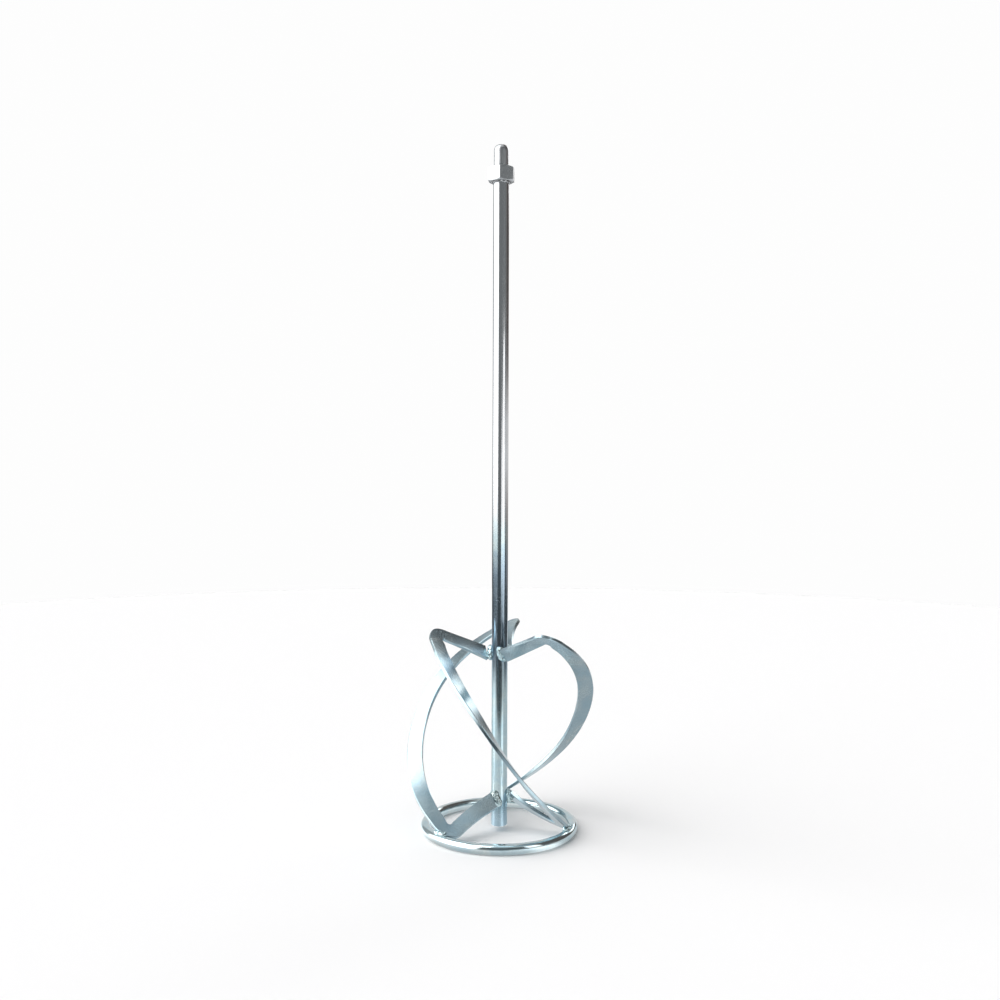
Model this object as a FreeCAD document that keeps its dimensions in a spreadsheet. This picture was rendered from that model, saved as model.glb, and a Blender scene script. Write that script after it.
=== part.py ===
import FreeCAD, Part
import Sketcher
import math
import os

# Mortar mixing paddle: a round shaft with a drive shank and a hexagon collar at the top,
# and a cage of three twisted flat-bar blades welded to the shaft and to a base ring.
# Frame: millimetres, +Z up the shaft, origin on the shaft axis where the ring rests.

VECTOR = FreeCAD.Vector
ORIGIN = VECTOR(0, 0, 0)
UP = VECTOR(0, 0, 1)

DIMENSIONS = {
    # whole tool
    "overall_length": 600,
    "cage_diameter": 176,
    # shaft, turned down at the top into the drive shank
    "shaft_diameter": 14,
    "shaft_foot_height": 4.5,
    "shaft_end_chamfer": 0.6,
    "shank_diameter": 13,
    "shank_length": 20,
    "shank_tip_radius": 5,
    # hexagon collar round the shaft, its top level with the shank's shoulder
    "hex_across_flats": 22,
    "hex_height": 13,
    "hex_end_circle": 20.7,
    "hex_chamfer_angle": 30,
    # base ring, one round bar
    "ring_outer_diameter": 137,
    "ring_bar_diameter": 9,
    # blade: a flat bar bent edgewise into a C, then twisted about the shaft
    "blade_width": 14,
    "blade_thickness": 3,
    "blade_edge_chamfer": 0.4,
    "blade_middle_height": 91.5,
    "blade_twist_rate": 0.53,
    "arm_height": 60.3,
    "arm_slope": 24.8,
    "arm_root_reach": 5.6,
    "corner_radius": 9,
    "run_radius": 126,
    "root_stand_off": 9.4,
    "corner_height": 77,
    "corner_stand_off": 22.8,
    # angle about the shaft of each blade's middle, set by hand in the welding jig
    "blade_1_angle": 25.4,
    "blade_2_angle": -91,
    "blade_3_angle": 150.6,
    # weld beads
    "root_bead_length": 15.5,
    "root_bead_width": 7.4,
    "root_bead_lift": 0.8,
    "root_bead_turn": 6,
    "root_bead_rise": 0.6,
    "ring_bead_length": 15,
    "ring_bead_width": 6.4,
    "collar_bead_width": 3,
}

# number of spans in which each stretch of a blade is shaped
ARM_SPANS = 8
CORNER_SPANS = 8
RUN_SPANS = 14
# number of spans covered by one length of a blade's long faces
FACE_SPANS = 6
# distance each way over which the direction across a blade is taken
EDGE_STEP = 0.01
# molten drops that make up one weld bead
BEAD_DROPS = 5
# radius of a sketched circle before the sheet's diameter drives it
SKETCH_RADIUS = 5
# how near an edge lies to the end of its feature
END_TOLERANCE = 1e-6
# turn about the shaft that brings a corner of the hexagon close to -Y
HEX_TURN = 24


def make_sheet(doc):
    sheet = doc.addObject("Spreadsheet::Sheet", "Dimensions")
    for row, (name, value) in enumerate(DIMENSIONS.items(), start=1):
        sheet.set("A%d" % row, name)
        sheet.set("B%d" % row, str(value))
        sheet.setAlias("B%d" % row, name)
    doc.recompute()
    return sheet


def bind(item, bindings):
    """Drive each named property by an expression on the spreadsheet's aliases."""
    for path, expression in bindings.items():
        item.setExpression(path, expression)


def add_primitive(doc, kind, name, bindings):
    item = doc.addObject(kind, name)
    bind(item, bindings)
    return item


def cut_away(doc, name, base, *tools):
    """Cut the tools from the base one after another and label the last result."""
    for number, tool in enumerate(tools, start=1):
        cut = doc.addObject("Part::Cut", "%s_cut_%d" % (name, number))
        cut.Base = base
        cut.Tool = tool
        base = cut
    base.Label = name
    return base


# ---------------------------------------------------------------- shaft and drive end

def pad_circle(doc, body, name, diameter, start, length):
    """Pad a round bar along +Z from the height start, all three bound to the sheet."""
    sketch = body.newObject("Sketcher::SketchObject", name + "_sketch")
    plane = next(item for item in body.Origin.OriginFeatures if item.Role == "XY_Plane")
    sketch.AttachmentSupport = (plane, [""])
    sketch.MapMode = "FlatFace"
    circle = sketch.addGeometry(Part.Circle(ORIGIN, UP, SKETCH_RADIUS), False)
    sketch.addConstraint(Sketcher.Constraint("Coincident", circle, 3, -1, 1))
    size = sketch.addConstraint(Sketcher.Constraint("Diameter", circle, 2 * SKETCH_RADIUS))
    sketch.renameConstraint(size, "across")
    bind(sketch, {"Constraints.across": diameter, "AttachmentOffset.Base.z": start})
    pad = body.newObject("PartDesign::Pad", name)
    pad.Profile = sketch
    bind(pad, {"Length": length})
    doc.recompute()
    return pad


def end_edge(feature, top):
    """Name the circular edge at the feature's top or bottom end."""
    box = feature.Shape.BoundBox
    height = box.ZMax if top else box.ZMin
    for number, edge in enumerate(feature.Shape.Edges, start=1):
        reach = max(abs(edge.BoundBox.ZMax - height), abs(edge.BoundBox.ZMin - height))
        if reach < END_TOLERANCE:
            return "Edge%d" % number
    raise ValueError("no end edge")


def make_shaft(doc):
    body = doc.addObject("PartDesign::Body", "shaft")
    body.Label = "shaft"
    shoulder = (
        "Dimensions.overall_length - Dimensions.shank_length - Dimensions.shaft_foot_height"
    )
    pad_circle(doc, body, "bar", "Dimensions.shaft_diameter", "0", shoulder)
    turned = pad_circle(
        doc, body, "shank", "Dimensions.shank_diameter", shoulder, "Dimensions.shank_length"
    )
    foot = body.newObject("PartDesign::Chamfer", "foot_chamfer")
    foot.Base = (turned, [end_edge(turned, False)])
    bind(foot, {"Size": "Dimensions.shaft_end_chamfer"})
    doc.recompute()
    tip = body.newObject("PartDesign::Fillet", "tip_round")
    tip.Base = (foot, [end_edge(foot, True)])
    bind(tip, {"Radius": "Dimensions.shank_tip_radius"})
    bind(body, {"Placement.Base.z": "Dimensions.shaft_foot_height"})
    doc.recompute()
    return body


def make_collar(doc):
    """Hexagon nut-like collar, both ends chamfered, one corner close to -Y."""
    hexagon = add_primitive(doc, "Part::Prism", "hexagon", {
        "Circumradius": "Dimensions.hex_across_flats / 2 / cos(30 deg)",
        "Height": "Dimensions.hex_height",
    })
    hexagon.Placement = FreeCAD.Placement(ORIGIN, FreeCAD.Rotation(UP, HEX_TURN))
    widening = "Dimensions.hex_height / tan(Dimensions.hex_chamfer_angle * 1 deg)"
    upper = add_primitive(doc, "Part::Cone", "upper_chamfer", {
        "Radius1": "Dimensions.hex_end_circle / 2 + " + widening,
        "Radius2": "Dimensions.hex_end_circle / 2",
        "Height": "Dimensions.hex_height",
    })
    lower = add_primitive(doc, "Part::Cone", "lower_chamfer", {
        "Radius1": "Dimensions.hex_end_circle / 2",
        "Radius2": "Dimensions.hex_end_circle / 2 + " + widening,
        "Height": "Dimensions.hex_height",
    })
    blank = doc.addObject("Part::MultiCommon", "collar_blank")
    blank.Shapes = [hexagon, upper, lower]
    bore = add_primitive(doc, "Part::Cylinder", "collar_bore", {
        "Radius": "Dimensions.shaft_diameter / 2",
        "Height": "Dimensions.hex_height",
    })
    collar = cut_away(doc, "hex_collar", blank, bore)
    bind(collar, {
        "Placement.Base.z":
            "Dimensions.overall_length - Dimensions.shank_length - Dimensions.hex_height",
    })
    return collar


def make_collar_weld(doc, shaft, collar):
    bead = add_primitive(doc, "Part::Torus", "collar_bead", {
        "Radius1": "Dimensions.shaft_diameter / 2",
        "Radius2": "Dimensions.collar_bead_width / 2",
        "Placement.Base.z":
            "Dimensions.overall_length - Dimensions.shank_length - Dimensions.hex_height",
    })
    return cut_away(doc, "collar_weld", bead, shaft, collar)


def make_ring(doc):
    ring = add_primitive(doc, "Part::Torus", "base_ring", {
        "Radius1": "(Dimensions.ring_outer_diameter - Dimensions.ring_bar_diameter) / 2",
        "Radius2": "Dimensions.ring_bar_diameter / 2",
        "Placement.Base.z": "Dimensions.ring_bar_diameter / 2",
    })
    ring.Label = "base_ring"
    return ring


# ---------------------------------------------------------------- blades

class BladePath:
    """The centreline of a blade, from its top root to its bottom root.

    The bar is laid out flat first: reach is the distance out from the shaft axis and
    rise the height above the blade's middle. The flat layout is then wrapped round the
    shaft: the angle turns evenly with height, and a stand-off that grows with height
    carries both arms past the side of the shaft. The middle lies towards +X.
    """

    def __init__(self, sheet):
        self.width = sheet.blade_width
        self.thickness = sheet.blade_thickness
        self.chamfer = sheet.blade_edge_chamfer
        self.middle_height = sheet.blade_middle_height
        self.turn = -math.radians(sheet.blade_twist_rate)
        self.arm_height = sheet.arm_height
        self.slope = math.radians(sheet.arm_slope)
        self.root_reach = sheet.arm_root_reach
        self.corner_radius = sheet.corner_radius
        self.run_radius = sheet.run_radius
        self.run_centre = (sheet.cage_diameter - sheet.blade_width) / 2 - sheet.run_radius
        root_ratio = sheet.root_stand_off / sheet.arm_height
        corner_ratio = sheet.corner_stand_off / sheet.corner_height
        self.cubic = (corner_ratio - root_ratio) / (sheet.corner_height**2 - sheet.arm_height**2)
        self.linear = root_ratio - self.cubic * sheet.arm_height**2

    def stand_off(self, rise):
        return self.linear * rise + self.cubic * rise**3

    def wrap(self, reach, rise):
        """Carry a point of the flat layout to its place round the shaft."""
        angle = self.turn * rise
        outward = VECTOR(math.cos(angle), math.sin(angle), 0)
        sideways = VECTOR(math.sin(angle), -math.cos(angle), 0)
        height = UP * (self.middle_height + rise)
        return outward * reach + sideways * self.stand_off(rise) + height

    def flat_stations(self):
        """List (reach, rise, outer edge direction) along the flat centreline."""
        along = (math.cos(self.slope), math.sin(self.slope))
        across = (-math.sin(self.slope), math.cos(self.slope))
        # centre of the corner arc, tangent to the arm and to the inside of the run arc
        from_run = (
            -self.corner_radius * across[0] - self.run_centre,
            self.arm_height - self.corner_radius * across[1],
        )
        half = from_run[0] * along[0] + from_run[1] * along[1]
        rest = from_run[0]**2 + from_run[1]**2 - (self.run_radius - self.corner_radius)**2
        step = math.sqrt(half**2 - rest) - half
        corner = (
            from_run[0] + self.run_centre + step * along[0],
            from_run[1] + step * along[1],
        )
        corner_start = math.pi / 2 + self.slope
        corner_end = math.atan2(corner[1], corner[0] - self.run_centre)

        arm_end = corner[0] + self.corner_radius * across[0]
        stations = []
        for number in range(ARM_SPANS):
            reach = self.root_reach + (arm_end - self.root_reach) * number / ARM_SPANS
            rise = self.arm_height + reach * math.tan(self.slope)
            stations.append((reach, rise, across))
        for number in range(CORNER_SPANS + 1):
            angle = corner_start + (corner_end - corner_start) * number / CORNER_SPANS
            facing = (math.cos(angle), math.sin(angle))
            reach = corner[0] + self.corner_radius * facing[0]
            rise = corner[1] + self.corner_radius * facing[1]
            stations.append((reach, rise, facing))
        for number in range(1, RUN_SPANS + 1):
            angle = corner_end * (1 - number / RUN_SPANS)
            facing = (math.cos(angle), math.sin(angle))
            reach = self.run_centre + self.run_radius * facing[0]
            stations.append((reach, self.run_radius * facing[1], facing))
        lower_half = [
            (reach, -rise, (facing[0], -facing[1]))
            for reach, rise, facing in reversed(stations[:-1])
        ]
        return stations + lower_half

    def edges(self):
        """Return the wrapped centre points and the unit directions across the bar."""
        centres = []
        widths = []
        for reach, rise, facing in self.flat_stations():
            step = (EDGE_STEP * facing[0], EDGE_STEP * facing[1])
            outer = self.wrap(reach + step[0], rise + step[1])
            inner = self.wrap(reach - step[0], rise - step[1])
            centres.append((outer + inner) * 0.5)
            widths.append((outer - inner).normalize())
        return centres, widths

    def section(self):
        """List the corners of the bar's chamfered section: across it and through it."""
        wide = self.width / 2
        thick = self.thickness / 2
        quarter = [(wide - self.chamfer, thick), (wide, thick - self.chamfer)]
        upper = [(-across, through) for across, through in reversed(quarter)] + quarter
        return upper + [(-across, -through) for across, through in upper]

    def corner_rows(self):
        """Return the bar's long edges as rows of points, and their parameters."""
        centres, widths = self.edges()
        last = len(centres) - 1
        rows = [[] for corner in self.section()]
        lengths = [0.0]
        for number, (centre, width) in enumerate(zip(centres, widths)):
            ahead = centres[min(number + 1, last)] - centres[max(number - 1, 0)]
            normal = width.cross(ahead).normalize()
            for row, (across, through) in zip(rows, self.section()):
                row.append(centre + width * across + normal * through)
            if number:
                lengths.append(lengths[-1] + (centre - centres[number - 1]).Length)
        return rows, lengths


def blade_solid(path):
    """Skin the bar's long faces between spline edges and close both ends."""
    rows, lengths = path.corner_rows()
    curves = []
    for row in rows:
        curve = Part.BSplineCurve()
        curve.interpolate(Points=row, Parameters=lengths)
        curves.append(curve)
    faces = []
    breaks = lengths[::FACE_SPANS]
    for start, end in zip(breaks, breaks[1:]):
        edges = [curve.toShape(start, end) for curve in curves]
        for number, edge in enumerate(edges):
            faces.append(Part.makeRuledSurface(edges[number - 1], edge))
    root = [row[0] for row in reversed(rows)]
    foot = [row[-1] for row in rows]
    for outline in (root, foot):
        faces.append(Part.Face(Part.makePolygon(outline + outline[:1])))
    shell = Part.Shell(faces)
    shell.sewShape()
    solid = Part.Solid(shell)
    if solid.Volume < 0:
        solid.reverse()
    return solid


def make_blades(doc, path, angles, shaft, ring):
    """Copy the blade round the shaft, each trimmed where it meets shaft and ring."""
    trimmed = blade_solid(path).cut(shaft.Shape).cut(ring.Shape)
    blades = []
    for number, angle in enumerate(angles, start=1):
        blade = doc.addObject("Part::Feature", "blade_%d" % number)
        blade.Shape = trimmed
        blade.Label = "blade_%d" % number
        blade.Placement = FreeCAD.Placement(ORIGIN, FreeCAD.Rotation(UP, angle))
        blades.append(blade)
    return blades, trimmed


# ---------------------------------------------------------------- weld beads

def make_bead(doc, name, kind, places, angle, cutters):
    """Drops run together at the places, turned about the shaft and trimmed by its parts."""
    spin = FreeCAD.Rotation(UP, angle)
    drops = []
    for number, place in enumerate(places, start=1):
        drop = add_primitive(doc, "Part::Sphere", "%s_drop_%d" % (name, number), {
            "Radius": "Dimensions.%s_bead_width / 2" % kind,
        })
        drop.Placement = FreeCAD.Placement(spin.multVec(place), spin)
        drops.append(drop)
    bead = doc.addObject("Part::MultiFuse", name + "_drops")
    bead.Shapes = drops
    return cut_away(doc, name, bead, *cutters)


def drop_shifts(length, width):
    """Spread the drops evenly over a bead of that length."""
    reach = (length - width) / 2
    return [reach * (2 * number / (BEAD_DROPS - 1) - 1) for number in range(BEAD_DROPS)]


def root_places(sheet, path):
    """Where the drops lie between the shaft and each cut end of a blade, top and foot."""
    centres, widths = path.edges()
    radius = sheet.shaft_diameter / 2 + sheet.root_bead_lift
    places = {}
    for end, number, upward in (("top", 0, 1), ("foot", -1, -1)):
        places[end] = []
        past_end = FreeCAD.Rotation(UP, -sheet.root_bead_turn * upward)
        for shift in drop_shifts(sheet.root_bead_length, sheet.root_bead_width):
            along_end = (shift + sheet.root_bead_rise) * upward
            point = centres[number] + widths[number] * along_end
            flat = past_end.multVec(VECTOR(point.x, point.y, 0).normalize() * radius)
            places[end].append(VECTOR(flat.x, flat.y, point.z))
    return places


def ring_places(sheet, blade, ring):
    """Where the drops lie along the ring beside the blade's lower corner."""
    touch = blade.distToShape(ring.Shape)[1][0][0]
    reach = math.hypot(touch.x, touch.y)
    places = []
    for shift in drop_shifts(sheet.ring_bead_length, sheet.ring_bead_width):
        turn = FreeCAD.Rotation(UP, math.degrees(shift / reach))
        places.append(turn.multVec(touch))
    return places


def make_welds(doc, sheet, path, shaft, ring, blades, angles, trimmed):
    welds = []
    roots = root_places(sheet, path)
    along_ring = ring_places(sheet, trimmed, ring)
    for number, (blade, angle) in enumerate(zip(blades, angles), start=1):
        for end, places in roots.items():
            name = "%s_weld_%d" % (end, number)
            welds.append(make_bead(doc, name, "root", places, angle, (shaft, blade)))
        name = "ring_weld_%d" % number
        welds.append(make_bead(doc, name, "ring", along_ring, angle, (ring, blade)))
    return welds


# ---------------------------------------------------------------- document

def check(doc, pieces):
    for item in doc.Objects:
        if "Invalid" in item.State or "Error" in item.State:
            raise RuntimeError("%s failed: %s" % (item.Name, item.State))
    for piece in pieces:
        if piece.Shape.isNull() or not piece.Shape.isValid() or not piece.Shape.Solids:
            raise RuntimeError("%s has no valid solid" % piece.Label)


def main():
    doc = FreeCAD.newDocument("mixing_paddle")
    sheet = make_sheet(doc)
    shaft = make_shaft(doc)
    collar = make_collar(doc)
    ring = make_ring(doc)
    collar_weld = make_collar_weld(doc, shaft, collar)
    doc.recompute()
    path = BladePath(sheet)
    angles = [sheet.blade_1_angle, sheet.blade_2_angle, sheet.blade_3_angle]
    blades, trimmed = make_blades(doc, path, angles, shaft, ring)
    welds = make_welds(doc, sheet, path, shaft, ring, blades, angles, trimmed)
    doc.recompute()

    pieces = [shaft, collar, collar_weld, ring] + blades + welds
    check(doc, pieces)
    os.makedirs("parts", exist_ok=True)
    for piece in pieces:
        piece.Shape.exportStep("parts/%s.step" % piece.Label)
        print(piece.Label, len(piece.Shape.Solids), round(piece.Shape.Volume, 1))


main()
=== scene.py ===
import math

import bpy
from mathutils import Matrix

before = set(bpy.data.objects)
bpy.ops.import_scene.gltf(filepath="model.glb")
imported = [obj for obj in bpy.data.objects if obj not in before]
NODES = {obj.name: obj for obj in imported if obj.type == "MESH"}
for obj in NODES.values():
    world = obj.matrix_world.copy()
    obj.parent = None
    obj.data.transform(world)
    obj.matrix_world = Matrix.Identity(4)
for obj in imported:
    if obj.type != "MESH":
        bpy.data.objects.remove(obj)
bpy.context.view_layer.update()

# Looks for the mortar mixing paddle: bright zinc plating with a pale blue cast over a drawn
# steel shaft, rolled flat-bar blades, a bent ring and lumpy welds. Metres, +Z up the shaft.

WELDS = sorted(node for node in NODES if "weld" in node)
BLADES = sorted(node for node in NODES if node.startswith("blade"))


# ---------------------------------------------------------------- shader helpers

# the mix node's sockets that hold a colour's factor, first and second, and its result
COLOUR_SOCKETS = (0, 6, 7)
COLOUR_RESULT = 2


class Graph:
    """A short way to write a node tree: calls add nodes and mostly return an output."""

    def __init__(self, tree):
        self.tree = tree
        tree.nodes.clear()

    def node(self, kind, settings=None, **inputs):
        made = self.tree.nodes.new(kind)
        for name, value in (settings or {}).items():
            setattr(made, name, value)
        for name, value in inputs.items():
            self.feed(made.inputs[name.replace("_", " ")], value)
        return made

    def feed(self, socket, value):
        if isinstance(value, bpy.types.NodeSocket):
            self.tree.links.new(value, socket)
        else:
            socket.default_value = value

    def operate(self, kind, settings, values):
        made = self.node(kind, settings)
        for socket, value in zip(made.inputs, values):
            self.feed(socket, value)
        return made.outputs

    def math(self, operation, *values, clamp=False):
        return self.operate("ShaderNodeMath", {"operation": operation, "use_clamp": clamp}, values)[0]

    def vector(self, operation, *values):
        return self.operate("ShaderNodeVectorMath", {"operation": operation}, values)[0]

    def dot(self, first, second):
        outputs = self.operate("ShaderNodeVectorMath", {"operation": "DOT_PRODUCT"}, (first, second))
        return outputs["Value"]

    def blend(self, factor, first, second):
        """Mix two shaders: the first at nought, the second at one."""
        return self.operate("ShaderNodeMixShader", {}, (factor, first, second))[0]

    def mix(self, factor, first, second):
        """Mix two colours: the first at nought, the second at one."""
        made = self.node("ShaderNodeMix", {"data_type": "RGBA"})
        for socket, value in zip(COLOUR_SOCKETS, (factor, first, second)):
            self.feed(made.inputs[socket], value)
        return made.outputs[COLOUR_RESULT]

    def ramp(self, value, low, high, start=0.0, end=1.0):
        """Smooth step: start below low, end above high."""
        made = self.node("ShaderNodeMapRange", {"interpolation_type": "SMOOTHSTEP"},
                         Value=value, From_Min=low, From_Max=high, To_Min=start, To_Max=end)
        return made.outputs[0]

    def band(self, value, low, high, soft):
        """One between low and high, fading to nothing over soft at either side."""
        rise = self.ramp(value, low - soft, low + soft)
        fall = self.ramp(value, high - soft, high + soft, 1.0, 0.0)
        return self.math("MULTIPLY", rise, fall)

    def noise(self, place, scale, detail=3.0, roughness=0.5, distortion=0.0):
        made = self.node("ShaderNodeTexNoise", Vector=place, Scale=scale, Detail=detail,
                         Roughness=roughness, Distortion=distortion)
        return made.outputs[0]

    def split(self, vector):
        made = self.node("ShaderNodeSeparateXYZ", Vector=vector)
        return made.outputs[0], made.outputs[1], made.outputs[2]

    def join(self, x, y, z):
        return self.node("ShaderNodeCombineXYZ", X=x, Y=y, Z=z).outputs[0]

    def place(self, kind):
        """A point of the surface, or the direction of a ray in the world."""
        return self.node("ShaderNodeTexCoord").outputs[kind]

    def reach(self, x, y):
        """Distance from the shaft's axis."""
        return self.math("SQRT", self.math("ADD", self.math("MULTIPLY", x, x), self.math("MULTIPLY", y, y)))

    def side(self, x, y):
        """Degrees round the shaft from the front, positive to the right."""
        return self.math("DEGREES", self.math("ARCTAN2", x, self.math("MULTIPLY", y, -1.0)))


def blank_material(name):
    material = bpy.data.materials.new(name)
    material.use_nodes = True
    return material, Graph(material.node_tree)


# ---------------------------------------------------------------- zinc plating

# the plating's blue film, what it clouds to, and its dark specks and rubbed edges
COOL = (0.335, 0.455, 0.515, 1.0)
PALE = (0.45, 0.53, 0.55, 1.0)
STRAW = (0.52, 0.53, 0.49, 1.0)
SPECK = (0.24, 0.29, 0.32, 1.0)
RUBBED = (0.66, 0.70, 0.71, 1.0)
# colours that cover it in places: a bare film, a navy band that is a painted dark reflection, and a darker
# blue that is painted shade at the shaft's foot
BARE = (0.56, 0.56, 0.57, 1.0)
NAVY_PAINTED_REFLECTION = (0.36, 0.46, 0.60, 1.0)
FOOT_PAINTED_SHADE = (0.30, 0.45, 0.58, 1.0)

# each noise pattern: repeats per metre, detail, roughness and distortion
CLOUDS = (38.0, 4.0, 0.6, 0.6)
STRAW_PATCHES = (70.0, 3.0, 0.55)
SPECKS = (900.0, 2.0, 0.6)
LINES = (2600.0, 3.0, 0.65)
SCRATCHES = (85.0, 1.0, 0.4, 2.5)
SCRATCHED_PATCHES = (60.0, 1.0)
RUBBED_PATCHES = (240.0, 3.0)
PITS = (1500.0, 2.0, 0.5)
LUMPS = (420.0, 3.0, 0.6)
RIPPLES = {"Scale": 210.0, "Distortion": 3.5, "Detail": 2.0}

# levels of a pattern between which what it drives comes in
STRAW_LEVELS = (0.52, 0.8)
SPECK_LEVELS = (0.35, 0.75)
LINE_LEVELS = (0.3, 0.7)
SCRATCHED_LEVELS = (0.5, 0.62)
RUBBED_LEVELS = (0.3, 0.65)
# likeness of the bevelled and the true direction of the surface, from rubbed edge to flat face
EDGE_LEVELS = (0.82, 0.99)

# offsets that keep patterns of like scale apart
STRAW_OFFSET = (3.1, 1.7, 0.4)
SCRATCH_OFFSET = (0.37, 0.11, 0.53)
SCRATCH_STRETCH = (1.0, 0.25, 0.6)
SCRATCH_WIDTH = 0.006

# how long the lines are drawn out, along the shaft and round it
ALONG_STRETCH = (1.0, 1.0, 0.012)
ROUND_STRETCH = 0.0015

CLOUD_SOFTNESS = 0.22
CLOUD_SHIFT = 0.3
# how far the rim of each height band, films and painted shade alike, wanders up and down with the clouds,
# and how softly it ends
RIM_WANDER = 0.008
RIM_FADE = 0.02
STRAW_AMOUNT = 0.35
SPECK_AMOUNT = 0.2
RUBBED_AMOUNT = 0.5
RUBBED_WIDTH = 0.0007
BEVEL_SAMPLES = 4

# shares of the roughness by which clouds and lines change it, what a scratch adds to it and what
# rubbing takes off it
CLOUD_ROUGHNESS = 0.12
LINE_ROUGHNESS = 0.12
SCRATCH_ROUGHNESS = 0.12
RUBBED_SMOOTHNESS = 0.05
# depths of pits and scratches as shares of the grain's, and of lumps as a share of the ripples'
PIT_DEPTH = 0.6
SCRATCH_DEPTH = 1.2
LUMP_DEPTH = 1.6


def grain_along_z(g, place):
    """Fine lines drawn along the shaft."""
    return g.vector("MULTIPLY", place, ALONG_STRETCH)


def grain_round_z(g, place):
    """Fine lines running round the shaft axis, as on the bent ring and turned faces."""
    x, y, z = g.split(place)
    return g.join(g.reach(x, y), g.math("MULTIPLY", g.math("ARCTAN2", x, y), ROUND_STRETCH), z)


def grain_none(g, place):
    """No lines, only an even fine grain."""
    return place


def film_clouds(g, place, blue):
    """One where the film clouds to pale zinc, nought where it stays blue."""
    middle = 0.5 - CLOUD_SHIFT * (blue - 0.5)
    return g.ramp(g.noise(place, *CLOUDS), middle - CLOUD_SOFTNESS, middle + CLOUD_SOFTNESS, 1.0, 0.0)


def film_colour(g, place, clouds, tone):
    """The clouded film with a faint straw tint in places and fine dark specks."""
    straw = g.ramp(g.noise(g.vector("ADD", place, STRAW_OFFSET), *STRAW_PATCHES), *STRAW_LEVELS)
    colour = g.mix(clouds, COOL, PALE)
    colour = g.mix(g.math("MULTIPLY", straw, STRAW_AMOUNT), colour, STRAW)
    specks = g.ramp(g.noise(place, *SPECKS), *SPECK_LEVELS, 0.0, SPECK_AMOUNT)
    return g.vector("MULTIPLY", g.mix(specks, colour, SPECK), tone)


def hairline_scratches(g, place):
    """Thin scratches that cross the grain, in some patches only."""
    across = g.vector("MULTIPLY", g.vector("ADD", place, SCRATCH_OFFSET), SCRATCH_STRETCH)
    from_middle = g.math("ABSOLUTE", g.math("SUBTRACT", g.noise(across, *SCRATCHES), 0.5))
    patches = g.ramp(g.noise(place, *SCRATCHED_PATCHES), *SCRATCHED_LEVELS)
    return g.math("MULTIPLY", g.ramp(from_middle, 0.0, SCRATCH_WIDTH, 1.0, 0.0), patches)


def rubbed_edges(g, place):
    """Edges rubbed bright in handling, more in some patches."""
    soft_edge = g.node("ShaderNodeBevel", {"samples": BEVEL_SAMPLES}, Radius=RUBBED_WIDTH)
    likeness = g.dot(soft_edge.outputs[0], g.node("ShaderNodeNewGeometry").outputs["Normal"])
    patches = g.ramp(g.noise(place, *RUBBED_PATCHES), *RUBBED_LEVELS)
    return g.math("MULTIPLY", g.ramp(likeness, *EDGE_LEVELS, 1.0, 0.0), patches)


def weld_ripples(g, place, ripple):
    """Height of the ripples and small lumps of a weld bead."""
    waves = g.node("ShaderNodeTexWave", {"wave_type": "RINGS", "rings_direction": "Z"},
                   Vector=place, **RIPPLES)
    lumps = g.math("MULTIPLY", g.noise(place, *LUMPS), ripple * LUMP_DEPTH)
    return g.math("ADD", g.math("MULTIPLY", waves.outputs["Fac"], ripple), lumps)


def zinc(name, grain, roughness, grain_depth, ripple=0.0, blue=0.5, tone=(1.0, 1.0, 1.0), films_and_painted_shade=(),
         dulled=()):
    """Zinc plate: clouded colour, drawn grain, fine pitting, scratches and rubbed edges."""
    material, g = blank_material(name)
    place = g.place("Object")
    clouds = film_clouds(g, place, blue)
    lines = g.noise(grain(g, place), *LINES)
    scratch = hairline_scratches(g, place)
    edge = rubbed_edges(g, place)
    up = g.split(place)[2]
    clouded_height = g.math("ADD", up, g.ramp(clouds, 0.0, 1.0, -RIM_WANDER, RIM_WANDER))

    colour = film_colour(g, place, clouds, tone)
    # colour bands by height: films, and on the shaft a painted dark reflection and painted shade at the
    # foot
    for low, high, band_colour, amount in films_and_painted_shade:
        here = g.math("MULTIPLY", g.band(clouded_height, low, high, RIM_FADE), amount)
        colour = g.mix(here, colour, band_colour)
    colour = g.mix(g.math("MULTIPLY", edge, RUBBED_AMOUNT), colour, RUBBED)

    # the finish: duller in clouds and scratches, brighter on rubbed edges
    rough = g.math("ADD",
                   g.ramp(clouds, 0.0, 1.0, roughness * (1 - CLOUD_ROUGHNESS),
                          roughness * (1 + CLOUD_ROUGHNESS)),
                   g.ramp(lines, *LINE_LEVELS, -LINE_ROUGHNESS * roughness, LINE_ROUGHNESS * roughness))
    rough = g.math("ADD", rough, g.math("MULTIPLY", scratch, SCRATCH_ROUGHNESS))
    for low, high, soft, amount in dulled:
        here = g.math("MULTIPLY", g.band(clouded_height, low, high, soft), amount)
        rough = g.math("ADD", rough, here)
    rough = g.math("SUBTRACT", rough, g.math("MULTIPLY", edge, RUBBED_SMOOTHNESS), clamp=True)

    # relief: grain, pitting, scratches and, on welds, the ripples of the bead
    pits = g.noise(place, *PITS)
    height = g.math("MULTIPLY", lines, grain_depth)
    height = g.math("ADD", height, g.math("MULTIPLY", pits, grain_depth * PIT_DEPTH))
    height = g.math("SUBTRACT", height, g.math("MULTIPLY", scratch, grain_depth * SCRATCH_DEPTH))
    if ripple:
        height = g.math("ADD", height, weld_ripples(g, place, ripple))
    bump = g.node("ShaderNodeBump", Height=height, Distance=1.0, Strength=1.0)

    shader = g.node("ShaderNodeBsdfPrincipled", Base_Color=colour, Roughness=rough,
                    Normal=bump.outputs[0], Metallic=1.0)
    g.node("ShaderNodeOutputMaterial", Surface=shader.outputs[0])
    return material


def dress(material, nodes):
    for node in nodes:
        slots = NODES[node].data.materials
        slots.clear()
        slots.append(material)


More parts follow.
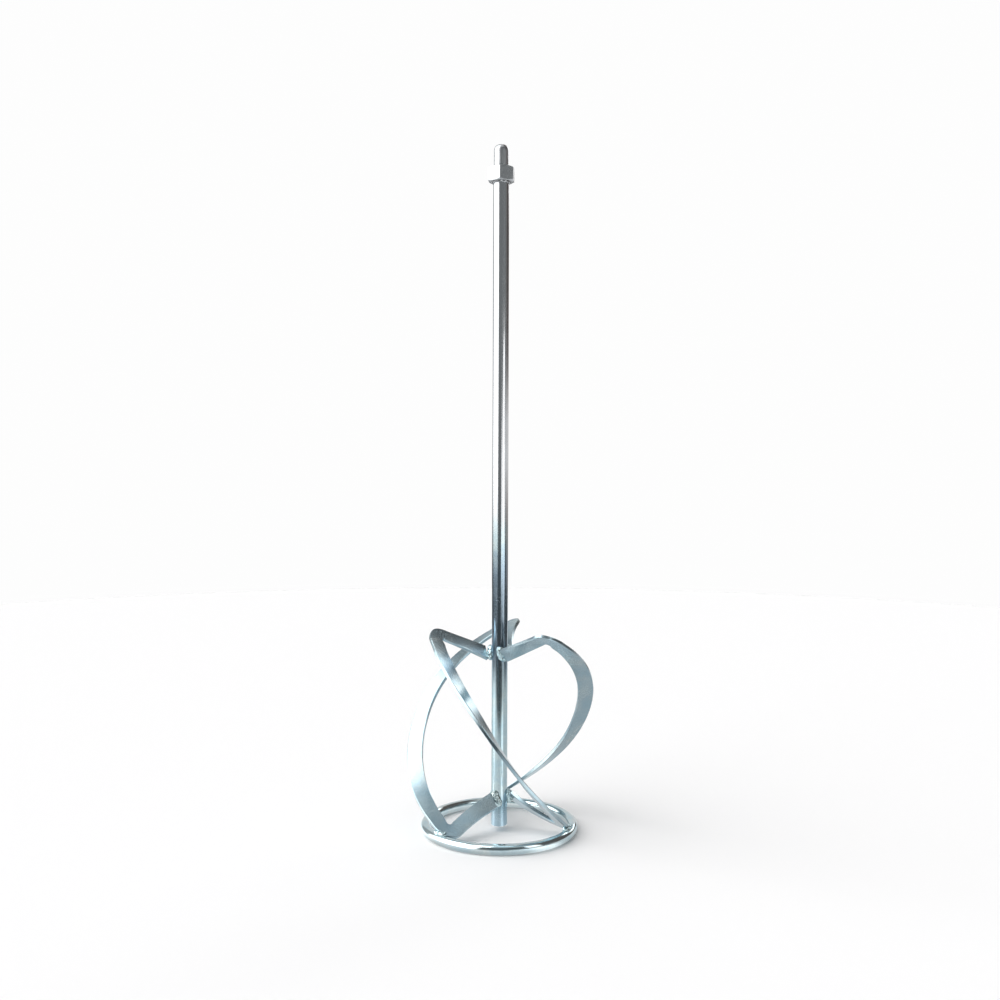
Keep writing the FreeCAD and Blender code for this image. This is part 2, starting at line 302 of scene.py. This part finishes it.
# where another colour covers the plating: heights from and to, its colour and how thick it is. On the shaft
# these are a bare film at the top, a navy painted dark reflection lower down and painted shade at the foot
SHAFT_FILMS_AND_PAINTED_SHADE = [(0.27, 0.70, BARE, 0.92), (0.14, 0.24, NAVY_PAINTED_REFLECTION, 0.6), (-0.10, 0.035, FOOT_PAINTED_SHADE, 0.5)]
DRIVE_END_FILMS = [(0.50, 0.70, BARE, 0.92)]
# where the shaft is duller: heights from and to, how softly it starts, and how much duller
SHAFT_DULLED = [(0.5805, 0.70, 0.001, 0.16), (-0.10, 0.020, 0.012, 0.18)]

dress(zinc("shaft_zinc", grain_along_z, roughness=0.15, grain_depth=0.000004, blue=0.45,
           tone=(1.3, 1.3, 1.27), films_and_painted_shade=SHAFT_FILMS_AND_PAINTED_SHADE, dulled=SHAFT_DULLED), ["shaft"])
dress(zinc("collar_zinc", grain_round_z, roughness=0.24, grain_depth=0.000006, blue=0.3,
           films_and_painted_shade=DRIVE_END_FILMS), ["hex_collar"])
dress(zinc("ring_zinc", grain_round_z, roughness=0.11, grain_depth=0.000006, tone=(1.6, 1.5, 1.44)),
      ["base_ring"])
dress(zinc("blade_zinc", grain_none, roughness=0.24, grain_depth=0.000006, blue=0.7), BLADES)
dress(zinc("weld_zinc", grain_none, roughness=0.17, grain_depth=0.00001, ripple=0.00008,
           tone=(1.25, 1.25, 1.2), films_and_painted_shade=DRIVE_END_FILMS), WELDS)


# ---------------------------------------------------------------- weld relief

WELD_GRAIN = 0.0004
LUMP_SIZE = 0.0020
LUMP_HEIGHT = 0.0016


def roughen_welds():
    """Give every bead the uneven surface of hand welding."""
    lumps = bpy.data.textures.new("weld_lumps", "CLOUDS")
    lumps.noise_scale = LUMP_SIZE
    lumps.noise_depth = 2
    for node in WELDS:
        weld = NODES[node]
        skin = weld.modifiers.new("skin", "REMESH")
        skin.mode = "VOXEL"
        skin.voxel_size = WELD_GRAIN
        skin.use_smooth_shade = True
        relief = weld.modifiers.new("relief", "DISPLACE")
        relief.texture = lumps
        relief.texture_coords = "LOCAL"
        relief.mid_level = 0.5
        relief.strength = LUMP_HEIGHT


roughen_welds()


# ---------------------------------------------------------------- floor and card

FLOOR_RADIUS = 1.9
FLOOR_CORNERS = 96
FLOOR_ALBEDO = (0.857, 0.85, 0.85, 1.0)

# what the metal sees of the table: its half width, its front edge, and painted streaks of light and shade
# on it as side angle from and to, fade and gain
TABLE_HALF_WIDTH = 0.68
TABLE_SIDE_FADE = 0.12
TABLE_FRONT = -0.38
TABLE_FRONT_FADE = 0.08
TABLE_TINT = (0.95, 0.98, 1.0, 1.0)
TABLE_TONE = 0.93
TABLE_LIGHT_AND_SHADE_STREAKS = [(-104, -66, 14, 0.7), (27, 50, 9, 0.8), (60, 145, 10, -0.22), (-24, 14, 10, -0.1)]
UNLIT_TONE = 0.08

# the painted contact shadow where the ring stands, as the metal sees the table: its radius, half width from
# and to, and tone
RING_RADIUS = 0.064
CONTACT_SHADOW_START = 0.002
CONTACT_SHADOW_END = 0.014
CONTACT_SHADOW_TONE = 0.7


def table_tone(g):
    """How bright the metal sees the table, with painted streaks of light and shade, unlit past its edges
    and with a painted contact shadow at the ring.
    """
    x, y, _ = g.split(g.place("Object"))
    side = g.side(x, y)
    tone = TABLE_TONE
    # painted streaks of light and shade on the table, as the metal sees it
    for left, right, soft, gain in TABLE_LIGHT_AND_SHADE_STREAKS:
        tone = g.math("ADD", tone, g.math("MULTIPLY", g.band(side, left, right, soft), gain))
    lit = g.math("MULTIPLY", g.band(x, -TABLE_HALF_WIDTH, TABLE_HALF_WIDTH, TABLE_SIDE_FADE),
                 g.ramp(y, TABLE_FRONT - TABLE_FRONT_FADE, TABLE_FRONT + TABLE_FRONT_FADE))
    tone = g.math("MULTIPLY", tone, g.ramp(lit, 0.0, 1.0, UNLIT_TONE, 1.0))
    # painted contact shadow round the ring's foot, seen only in the metal
    from_ring = g.math("ABSOLUTE", g.math("SUBTRACT", g.reach(x, y), RING_RADIUS))
    return g.math("MULTIPLY", tone, g.ramp(from_ring, CONTACT_SHADOW_START, CONTACT_SHADOW_END, CONTACT_SHADOW_TONE, 1.0))


def make_floor():
    """A wide pale floor. The metal sees it as a lit white table in an unlit studio."""
    bpy.ops.mesh.primitive_circle_add(vertices=FLOOR_CORNERS, radius=FLOOR_RADIUS, fill_type="NGON")
    floor = bpy.context.object
    floor.name = "floor"
    material, g = blank_material("floor_white")
    plain = g.node("ShaderNodeBsdfDiffuse", Color=FLOOR_ALBEDO).outputs[0]
    glow = g.node("ShaderNodeEmission", Color=TABLE_TINT, Strength=table_tone(g)).outputs[0]
    seen_in_metal = g.node("ShaderNodeLightPath").outputs["Is Glossy Ray"]
    g.node("ShaderNodeOutputMaterial", Surface=g.blend(seen_in_metal, plain, glow))
    floor.data.materials.append(material)


CARD_SIDE = 50
CARD_DISTANCE = 0.5
CARD_WIDTH = 0.25
CARD_HEIGHT = 0.49
# shares of the card's height between which it brightens, and its tones at the foot and the top
CARD_RISE = (0.15, 0.6)
CARD_TONES = (0.7, 2.2)
# shares of the card's width within which it fades from its rims, for its light and for its edge
CARD_LIGHT_FADE = 0.12
CARD_EDGE_FADE = 0.06


def make_card():
    """A white card standing on the table to the right, seen only as a streak in the metal."""
    angle = math.radians(CARD_SIDE)
    bpy.ops.mesh.primitive_plane_add(size=1.0)
    card = bpy.context.object
    card.name = "white_card"
    card.scale = (CARD_WIDTH, CARD_HEIGHT, 1.0)
    card.location = (CARD_DISTANCE * math.sin(angle), -CARD_DISTANCE * math.cos(angle), CARD_HEIGHT / 2)
    card.rotation_euler = (math.radians(90), 0, angle)
    material, g = blank_material("card_white")
    across, up, _ = g.split(g.place("Generated"))
    tone = g.math("MULTIPLY", g.ramp(up, *CARD_RISE, *CARD_TONES),
                  g.band(across, CARD_LIGHT_FADE, 1 - CARD_LIGHT_FADE, CARD_LIGHT_FADE))
    light = g.node("ShaderNodeEmission", Strength=tone).outputs[0]
    clear = g.node("ShaderNodeBsdfTransparent").outputs[0]
    inside = g.band(across, CARD_EDGE_FADE, 1 - CARD_EDGE_FADE, CARD_EDGE_FADE)
    g.node("ShaderNodeOutputMaterial", Surface=g.blend(inside, clear, light))
    card.data.materials.append(material)
    card.visible_camera = False
    card.visible_diffuse = False
    card.visible_shadow = False


# ---------------------------------------------------------------- studio

# soft boxes and openings round the studio: side angles from the front, positive to the right,
# and heights above the horizon, in degrees, then the fade at the rim and the brightness
SOFT_BOXES = [
    (-120, -34, -3, 66, 9, 3.2),
    (-85, -18, 58, 78, 6, 3.2),
    (-148, -116, -4, 55, 7, 0.42),
    (156, 200, -4, 74, 6, 0.75),
    (-200, -146, -4, 74, 8, 0.75),
    (138, 160, 14, 37, 8, 3.7),
    (16, 72, -8, 2.5, 5, 1.9),
    (72, 150, -2, 4, 4, 1.0),
    (100, 150, -14, 2, 5, 0.4),
    (-34, 90, -3, 20, 4, 0.26),
    (-45, 75, 46, 75, 8, 0.5),
    (35, 60, 8, 15, 4, 0.3),
]
# a box's upper and lower rims fade over this share of what its sides do
BOX_HEIGHT_FADE = 0.4
CEILING_START = 71
CEILING_FADE = 9
CEILING_BRIGHTNESS = 0.92
DARK_BRIGHTNESS = 0.12
# dim light is cool, and whitens as it brightens
DIM_LIGHT = (0.90, 0.97, 1.0, 1.0)
WHITE_LIGHT = (1.0, 1.0, 1.0, 1.0)
WHITENING = 0.6
# the unlit side of the studio is warm: its side angles from and to, and fade, the brightness
# between which the warmth dies away, and its colour
WARM_SIDE = (85, 175, 25)
WARM_LEVELS = (0.3, 1.2)
WARM_LIGHT = (1.0, 0.88, 0.84, 1.0)
SURROUND = (0.985, 0.985, 0.985, 1.0)

SUN_STRENGTH = 0.31
SUN_SPREAD = 60


def make_world():
    """Soft boxes in a dark studio for the metal, and a plain pale surround for the eye."""
    world = bpy.data.worlds.new("studio")
    bpy.context.scene.world = world
    world.use_nodes = True
    g = Graph(world.node_tree)
    x, y, z = g.split(g.place("Generated"))
    side = g.side(x, y)
    height = g.math("DEGREES", g.math("ARCSINE", z))
    light = g.ramp(height, CEILING_START - CEILING_FADE, CEILING_START + CEILING_FADE, DARK_BRIGHTNESS,
                   CEILING_BRIGHTNESS)
    for left, right, low, high, soft, brightness in SOFT_BOXES:
        box = g.math("MULTIPLY", g.band(side, left, right, soft),
                     g.band(height, low, high, soft * BOX_HEIGHT_FADE))
        light = g.math("MAXIMUM", light, g.math("MULTIPLY", box, brightness))
    tint = g.mix(g.math("MULTIPLY", light, WHITENING, clamp=True), DIM_LIGHT, WHITE_LIGHT)
    warmth = g.math("MULTIPLY", g.band(side, *WARM_SIDE), g.ramp(light, *WARM_LEVELS, 1.0, 0.0))
    tint = g.mix(warmth, tint, WARM_LIGHT)
    studio = g.node("ShaderNodeBackground", Color=tint, Strength=light).outputs[0]
    plain = g.node("ShaderNodeBackground", Color=SURROUND, Strength=1.0).outputs[0]
    seen_past_tool = g.node("ShaderNodeLightPath").outputs["Is Camera Ray"]
    g.node("ShaderNodeOutputWorld", Surface=g.blend(seen_past_tool, studio, plain))


def make_sun():
    """Even light from above that lifts the floor to the tone of the surround."""
    sun = bpy.data.objects.new("sun", bpy.data.lights.new("sun", "SUN"))
    bpy.context.scene.collection.objects.link(sun)
    sun.data.energy = SUN_STRENGTH
    sun.data.angle = math.radians(SUN_SPREAD)
    sun.visible_glossy = False


# ---------------------------------------------------------------- camera

CAMERA_PLACE = (-0.0003, -0.9694, 0.32)
CAMERA_ROLL = -0.2
CAMERA_LENS = 39.82
CAMERA_SHIFT = -0.0358


def make_camera():
    """Level camera in front of the paddle, rolled a touch as the tool leans in its frame."""
    camera = bpy.data.objects.new("camera", bpy.data.cameras.new("camera"))
    bpy.context.scene.collection.objects.link(camera)
    camera.location = CAMERA_PLACE
    camera.rotation_euler = (math.radians(90), math.radians(CAMERA_ROLL), 0)
    camera.data.lens = CAMERA_LENS
    camera.data.shift_y = CAMERA_SHIFT
    camera.data.dof.use_dof = False
    bpy.context.scene.camera = camera


make_floor()
make_card()
make_world()
make_sun()
make_camera()
bpy.context.scene.view_settings.view_transform = "Standard"
